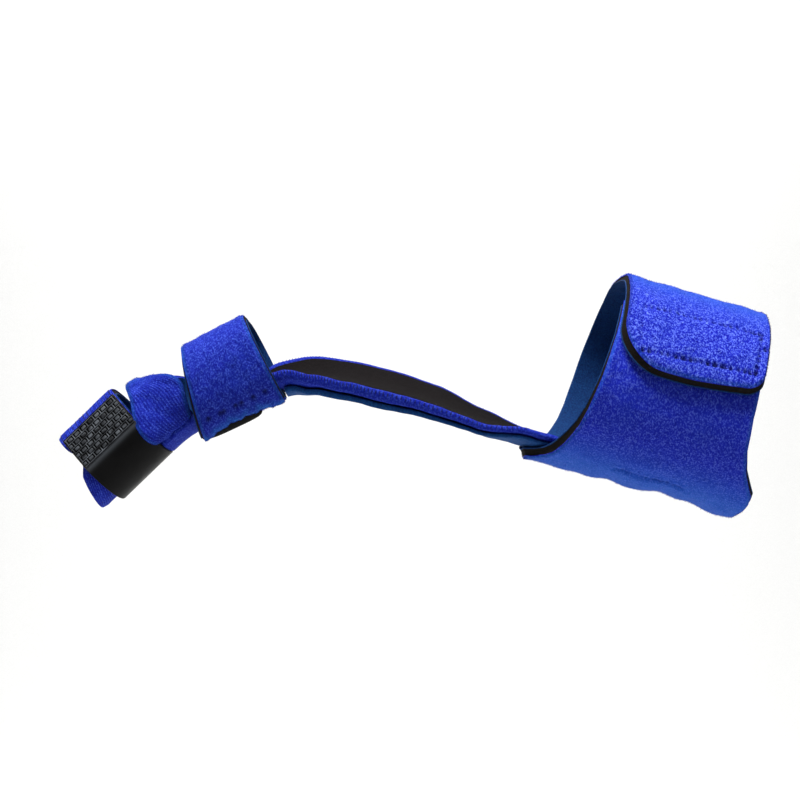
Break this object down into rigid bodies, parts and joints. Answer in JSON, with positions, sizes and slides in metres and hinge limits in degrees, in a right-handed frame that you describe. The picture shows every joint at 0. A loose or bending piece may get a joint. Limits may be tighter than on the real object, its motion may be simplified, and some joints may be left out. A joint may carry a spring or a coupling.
{
  "type": "finger splint",
  "caption": "Wrist-anchored finger splint: wrap-round wrist cuff, padded palm strap, finger straps, and a fingertip loop with a moulded guard.",
  "frame": {"origin": "the middle of the wrist cuff's opening, on the forearm's axis", "axes": "+X towards the elbow along the worn splint, +Y away from the thumb's side of the hand, +Z towards the back of the hand; the forearm's axis falls 16 degrees towards +X"},
  "size_m": [0.2101, 0.0698, 0.0731],
  "materials": {
    "brushed_loop_fabric": "brushed unbroken-loop nylon, blue, soft sheen",
    "knitted_loop_fabric": "knitted nylon, blue, with fine slanted wales",
    "dark_loop_fabric": "brushed loop nylon, dark blue, matt",
    "foam_lining": "closed-cell foam, black, matt",
    "hook_tape": "hook tape, black, matt",
    "moulded_plastic": "moulded plastic, black, satin with a raised grip pattern"
  },
  "bodies": {
    "root": {"wrist_cuff": "brushed_loop_fabric", "cuff_hook_patch": "hook_tape", "palm_sleeve": "brushed_loop_fabric", "palm_lining": "foam_lining", "palm_backing": "dark_loop_fabric", "proximal_finger_strap": "brushed_loop_fabric", "proximal_hook_tab": "hook_tape", "distal_finger_strap": "knitted_loop_fabric", "tip_loop": "knitted_loop_fabric", "tip_guard": "moulded_plastic"}
  },
  "joints": []
}
